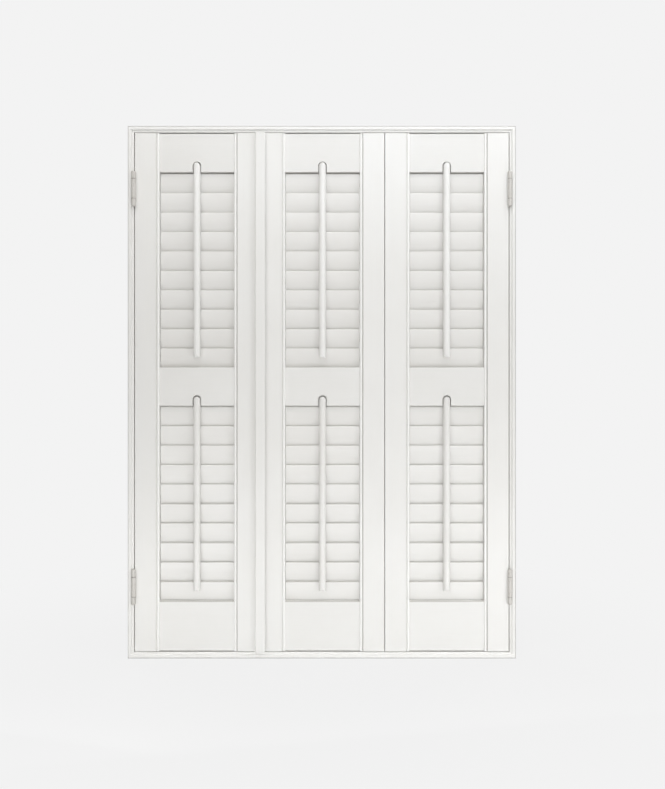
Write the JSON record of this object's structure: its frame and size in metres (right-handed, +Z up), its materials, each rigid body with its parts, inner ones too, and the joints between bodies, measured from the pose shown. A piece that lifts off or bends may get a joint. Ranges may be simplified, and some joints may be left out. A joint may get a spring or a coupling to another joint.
{
  "type": "louvred shutters",
  "caption": "Painted interior window shutters in a frame, with louvred panels, tilt rods, one side-hinged panel and a folding pair.",
  "frame": {"origin": "under the middle of the sill, on the plane of the frame's window side", "axes": "+Z up along the stiles, -Y towards the room, +X to the right as seen from the room"},
  "size_m": [0.7954, 0.0589, 1.0912],
  "materials": {
    "frame_paint": "satin",
    "stile_paint": "satin",
    "rail_paint": "satin",
    "louvre_paint": "satin",
    "rod_paint": "satin",
    "hinge_metal": "satin"
  },
  "bodies": {
    "frame": {"frame_head": "frame_paint", "frame_sill": "frame_paint", "frame_jamb_left": "frame_paint", "frame_jamb_right": "frame_paint", "frame_hinge_leaves": "hinge_metal"},
    "left_panel": {"left_stile_left": "stile_paint", "left_stile_right": "stile_paint", "left_rail_top": "rail_paint", "left_rail_middle": "rail_paint", "left_rail_bottom": "rail_paint", "left_lower_louvres": "louvre_paint", "left_hinge_leaves": "hinge_metal", "left_meeting_strip": "stile_paint"},
    "middle_panel": {"middle_stile_left": "stile_paint", "middle_stile_right": "stile_paint", "middle_rail_top": "rail_paint", "middle_rail_middle": "rail_paint", "middle_rail_bottom": "rail_paint", "middle_lower_louvres": "louvre_paint", "middle_hinge_leaves": "hinge_metal"},
    "right_panel": {"right_stile_left": "stile_paint", "right_stile_right": "stile_paint", "right_rail_top": "rail_paint", "right_rail_middle": "rail_paint", "right_rail_bottom": "rail_paint", "right_lower_louvres": "louvre_paint", "right_hinge_leaves": "hinge_metal"},
    "left_louvre_1": {"left_louvre_1": "louvre_paint"},
    "left_louvre_2": {"left_louvre_2": "louvre_paint"},
    "left_louvre_3": {"left_louvre_3": "louvre_paint"},
    "left_louvre_4": {"left_louvre_4": "louvre_paint"},
    "left_louvre_5": {"left_louvre_5": "louvre_paint"},
    "left_louvre_6": {"left_louvre_6": "louvre_paint"},
    "left_louvre_7": {"left_louvre_7": "louvre_paint"},
    "left_louvre_8": {"left_louvre_8": "louvre_paint"},
    "left_louvre_9": {"left_louvre_9": "louvre_paint"},
    "left_louvre_10": {"left_louvre_10": "louvre_paint"},
    "left_tilt_rod": {"left_tilt_rod": "rod_paint"},
    "middle_louvre_1": {"middle_louvre_1": "louvre_paint"},
    "middle_louvre_2": {"middle_louvre_2": "louvre_paint"},
    "middle_louvre_3": {"middle_louvre_3": "louvre_paint"},
    "middle_louvre_4": {"middle_louvre_4": "louvre_paint"},
    "middle_louvre_5": {"middle_louvre_5": "louvre_paint"},
    "middle_louvre_6": {"middle_louvre_6": "louvre_paint"},
    "middle_louvre_7": {"middle_louvre_7": "louvre_paint"},
    "middle_louvre_8": {"middle_louvre_8": "louvre_paint"},
    "middle_louvre_9": {"middle_louvre_9": "louvre_paint"},
    "middle_louvre_10": {"middle_louvre_10": "louvre_paint"},
    "middle_tilt_rod": {"middle_tilt_rod": "rod_paint"},
    "right_louvre_1": {"right_louvre_1": "louvre_paint"},
    "right_louvre_2": {"right_louvre_2": "louvre_paint"},
    "right_louvre_3": {"right_louvre_3": "louvre_paint"},
    "right_louvre_4": {"right_louvre_4": "louvre_paint"},
    "right_louvre_5": {"right_louvre_5": "louvre_paint"},
    "right_louvre_6": {"right_louvre_6": "louvre_paint"},
    "right_louvre_7": {"right_louvre_7": "louvre_paint"},
    "right_louvre_8": {"right_louvre_8": "louvre_paint"},
    "right_louvre_9": {"right_louvre_9": "louvre_paint"},
    "right_louvre_10": {"right_louvre_10": "louvre_paint"},
    "right_tilt_rod": {"right_tilt_rod": "rod_paint"}
  },
  "joints": [
    {"name": "left_swing", "type": "hinge", "parent": "frame", "child": "left_panel", "pos_m": [-0.3852, -0.0544, 0.5456], "axis": [0, 0, -1], "range_deg": [0, 170]},
    {"name": "right_swing", "type": "hinge", "parent": "frame", "child": "right_panel", "pos_m": [0.3852, -0.0544, 0.5456], "axis": [0, 0, 1], "range_deg": [0, 88]},
    {"name": "middle_fold", "type": "hinge", "parent": "right_panel", "child": "middle_panel", "pos_m": [0.129, -0.0166, 0.5456], "axis": [0, 0, -1], "range_deg": [0, 176]},
    {"name": "left_tilt_1", "type": "hinge", "parent": "left_panel", "child": "left_louvre_1", "pos_m": [-0.2566, -0.0355, 0.9726], "axis": [1, 0, 0], "range_deg": [0, 124]},
    {"name": "left_tilt_2", "type": "hinge", "parent": "left_panel", "child": "left_louvre_2", "pos_m": [-0.2566, -0.0355, 0.9326], "axis": [1, 0, 0], "range_deg": [0, 124]},
    {"name": "left_tilt_3", "type": "hinge", "parent": "left_panel", "child": "left_louvre_3", "pos_m": [-0.2566, -0.0355, 0.8926], "axis": [1, 0, 0], "range_deg": [0, 124]},
    {"name": "left_tilt_4", "type": "hinge", "parent": "left_panel", "child": "left_louvre_4", "pos_m": [-0.2566, -0.0355, 0.8526], "axis": [1, 0, 0], "range_deg": [0, 124]},
    {"name": "left_tilt_5", "type": "hinge", "parent": "left_panel", "child": "left_louvre_5", "pos_m": [-0.2566, -0.0355, 0.8126], "axis": [1, 0, 0], "range_deg": [0, 124]},
    {"name": "left_tilt_6", "type": "hinge", "parent": "left_panel", "child": "left_louvre_6", "pos_m": [-0.2566, -0.0355, 0.7726], "axis": [1, 0, 0], "range_deg": [0, 124]},
    {"name": "left_tilt_7", "type": "hinge", "parent": "left_panel", "child": "left_louvre_7", "pos_m": [-0.2566, -0.0355, 0.7326], "axis": [1, 0, 0], "range_deg": [0, 124]},
    {"name": "left_tilt_8", "type": "hinge", "parent": "left_panel", "child": "left_louvre_8", "pos_m": [-0.2566, -0.0355, 0.6926], "axis": [1, 0, 0], "range_deg": [0, 124]},
    {"name": "left_tilt_9", "type": "hinge", "parent": "left_panel", "child": "left_louvre_9", "pos_m": [-0.2566, -0.0355, 0.6526], "axis": [1, 0, 0], "range_deg": [0, 124]},
    {"name": "left_tilt_10", "type": "hinge", "parent": "left_panel", "child": "left_louvre_10", "pos_m": [-0.2566, -0.0355, 0.6126], "axis": [1, 0, 0], "range_deg": [0, 124]},
    {"name": "left_rod_link", "type": "hinge", "parent": "left_louvre_5", "child": "left_tilt_rod", "pos_m": [-0.2566, -0.04036, 0.84018], "axis": [-1, 0, 0], "range_deg": [0, 124]},
    {"name": "middle_tilt_1", "type": "hinge", "parent": "middle_panel", "child": "middle_louvre_1", "pos_m": [0.0014, -0.0355, 0.9726], "axis": [1, 0, 0], "range_deg": [0, 124]},
    {"name": "middle_tilt_2", "type": "hinge", "parent": "middle_panel", "child": "middle_louvre_2", "pos_m": [0.0014, -0.0355, 0.9326], "axis": [1, 0, 0], "range_deg": [0, 124]},
    {"name": "middle_tilt_3", "type": "hinge", "parent": "middle_panel", "child": "middle_louvre_3", "pos_m": [0.0014, -0.0355, 0.8926], "axis": [1, 0, 0], "range_deg": [0, 124]},
    {"name": "middle_tilt_4", "type": "hinge", "parent": "middle_panel", "child": "middle_louvre_4", "pos_m": [0.0014, -0.0355, 0.8526], "axis": [1, 0, 0], "range_deg": [0, 124]},
    {"name": "middle_tilt_5", "type": "hinge", "parent": "middle_panel", "child": "middle_louvre_5", "pos_m": [0.0014, -0.0355, 0.8126], "axis": [1, 0, 0], "range_deg": [0, 124]},
    {"name": "middle_tilt_6", "type": "hinge", "parent": "middle_panel", "child": "middle_louvre_6", "pos_m": [0.0014, -0.0355, 0.7726], "axis": [1, 0, 0], "range_deg": [0, 124]},
    {"name": "middle_tilt_7", "type": "hinge", "parent": "middle_panel", "child": "middle_louvre_7", "pos_m": [0.0014, -0.0355, 0.7326], "axis": [1, 0, 0], "range_deg": [0, 124]},
    {"name": "middle_tilt_8", "type": "hinge", "parent": "middle_panel", "child": "middle_louvre_8", "pos_m": [0.0014, -0.0355, 0.6926], "axis": [1, 0, 0], "range_deg": [0, 124]},
    {"name": "middle_tilt_9", "type": "hinge", "parent": "middle_panel", "child": "middle_louvre_9", "pos_m": [0.0014, -0.0355, 0.6526], "axis": [1, 0, 0], "range_deg": [0, 124]},
    {"name": "middle_tilt_10", "type": "hinge", "parent": "middle_panel", "child": "middle_louvre_10", "pos_m": [0.0014, -0.0355, 0.6126], "axis": [1, 0, 0], "range_deg": [0, 124]},
    {"name": "middle_rod_link", "type": "hinge", "parent": "middle_louvre_5", "child": "middle_tilt_rod", "pos_m": [0.0014, -0.04036, 0.84018], "axis": [-1, 0, 0], "range_deg": [0, 124]},
    {"name": "right_tilt_1", "type": "hinge", "parent": "right_panel", "child": "right_louvre_1", "pos_m": [0.2566, -0.0355, 0.9726], "axis": [1, 0, 0], "range_deg": [0, 124]},
    {"name": "right_tilt_2", "type": "hinge", "parent": "right_panel", "child": "right_louvre_2", "pos_m": [0.2566, -0.0355, 0.9326], "axis": [1, 0, 0], "range_deg": [0, 124]},
    {"name": "right_tilt_3", "type": "hinge", "parent": "right_panel", "child": "right_louvre_3", "pos_m": [0.2566, -0.0355, 0.8926], "axis": [1, 0, 0], "range_deg": [0, 124]},
    {"name": "right_tilt_4", "type": "hinge", "parent": "right_panel", "child": "right_louvre_4", "pos_m": [0.2566, -0.0355, 0.8526], "axis": [1, 0, 0], "range_deg": [0, 124]},
    {"name": "right_tilt_5", "type": "hinge", "parent": "right_panel", "child": "right_louvre_5", "pos_m": [0.2566, -0.0355, 0.8126], "axis": [1, 0, 0], "range_deg": [0, 124]},
    {"name": "right_tilt_6", "type": "hinge", "parent": "right_panel", "child": "right_louvre_6", "pos_m": [0.2566, -0.0355, 0.7726], "axis": [1, 0, 0], "range_deg": [0, 124]},
    {"name": "right_tilt_7", "type": "hinge", "parent": "right_panel", "child": "right_louvre_7", "pos_m": [0.2566, -0.0355, 0.7326], "axis": [1, 0, 0], "range_deg": [0, 124]},
    {"name": "right_tilt_8", "type": "hinge", "parent": "right_panel", "child": "right_louvre_8", "pos_m": [0.2566, -0.0355, 0.6926], "axis": [1, 0, 0], "range_deg": [0, 124]},
    {"name": "right_tilt_9", "type": "hinge", "parent": "right_panel", "child": "right_louvre_9", "pos_m": [0.2566, -0.0355, 0.6526], "axis": [1, 0, 0], "range_deg": [0, 124]},
    {"name": "right_tilt_10", "type": "hinge", "parent": "right_panel", "child": "right_louvre_10", "pos_m": [0.2566, -0.0355, 0.6126], "axis": [1, 0, 0], "range_deg": [0, 124]},
    {"name": "right_rod_link", "type": "hinge", "parent": "right_louvre_5", "child": "right_tilt_rod", "pos_m": [0.2566, -0.04036, 0.84018], "axis": [-1, 0, 0], "range_deg": [0, 124]}
  ],
  "couplings": [
    {"joint": "middle_fold", "follows": "right_swing", "ratio": 2},
    {"joint": "left_tilt_1", "follows": "left_tilt_5", "ratio": 1},
    {"joint": "left_tilt_2", "follows": "left_tilt_5", "ratio": 1},
    {"joint": "left_tilt_3", "follows": "left_tilt_5", "ratio": 1},
    {"joint": "left_tilt_4", "follows": "left_tilt_5", "ratio": 1},
    {"joint": "left_tilt_6", "follows": "left_tilt_5", "ratio": 1},
    {"joint": "left_tilt_7", "follows": "left_tilt_5", "ratio": 1},
    {"joint": "left_tilt_8", "follows": "left_tilt_5", "ratio": 1},
    {"joint": "left_tilt_9", "follows": "left_tilt_5", "ratio": 1},
    {"joint": "left_tilt_10", "follows": "left_tilt_5", "ratio": 1},
    {"joint": "left_rod_link", "follows": "left_tilt_5", "ratio": 1},
    {"joint": "middle_tilt_1", "follows": "middle_tilt_5", "ratio": 1},
    {"joint": "middle_tilt_2", "follows": "middle_tilt_5", "ratio": 1},
    {"joint": "middle_tilt_3", "follows": "middle_tilt_5", "ratio": 1},
    {"joint": "middle_tilt_4", "follows": "middle_tilt_5", "ratio": 1},
    {"joint": "middle_tilt_6", "follows": "middle_tilt_5", "ratio": 1},
    {"joint": "middle_tilt_7", "follows": "middle_tilt_5", "ratio": 1},
    {"joint": "middle_tilt_8", "follows": "middle_tilt_5", "ratio": 1},
    {"joint": "middle_tilt_9", "follows": "middle_tilt_5", "ratio": 1},
    {"joint": "middle_tilt_10", "follows": "middle_tilt_5", "ratio": 1},
    {"joint": "middle_rod_link", "follows": "middle_tilt_5", "ratio": 1},
    {"joint": "right_tilt_1", "follows": "right_tilt_5", "ratio": 1},
    {"joint": "right_tilt_2", "follows": "right_tilt_5", "ratio": 1},
    {"joint": "right_tilt_3", "follows": "right_tilt_5", "ratio": 1},
    {"joint": "right_tilt_4", "follows": "right_tilt_5", "ratio": 1},
    {"joint": "right_tilt_6", "follows": "right_tilt_5", "ratio": 1},
    {"joint": "right_tilt_7", "follows": "right_tilt_5", "ratio": 1},
    {"joint": "right_tilt_8", "follows": "right_tilt_5", "ratio": 1},
    {"joint": "right_tilt_9", "follows": "right_tilt_5", "ratio": 1},
    {"joint": "right_tilt_10", "follows": "right_tilt_5", "ratio": 1},
    {"joint": "right_rod_link", "follows": "right_tilt_5", "ratio": 1}
  ]
}
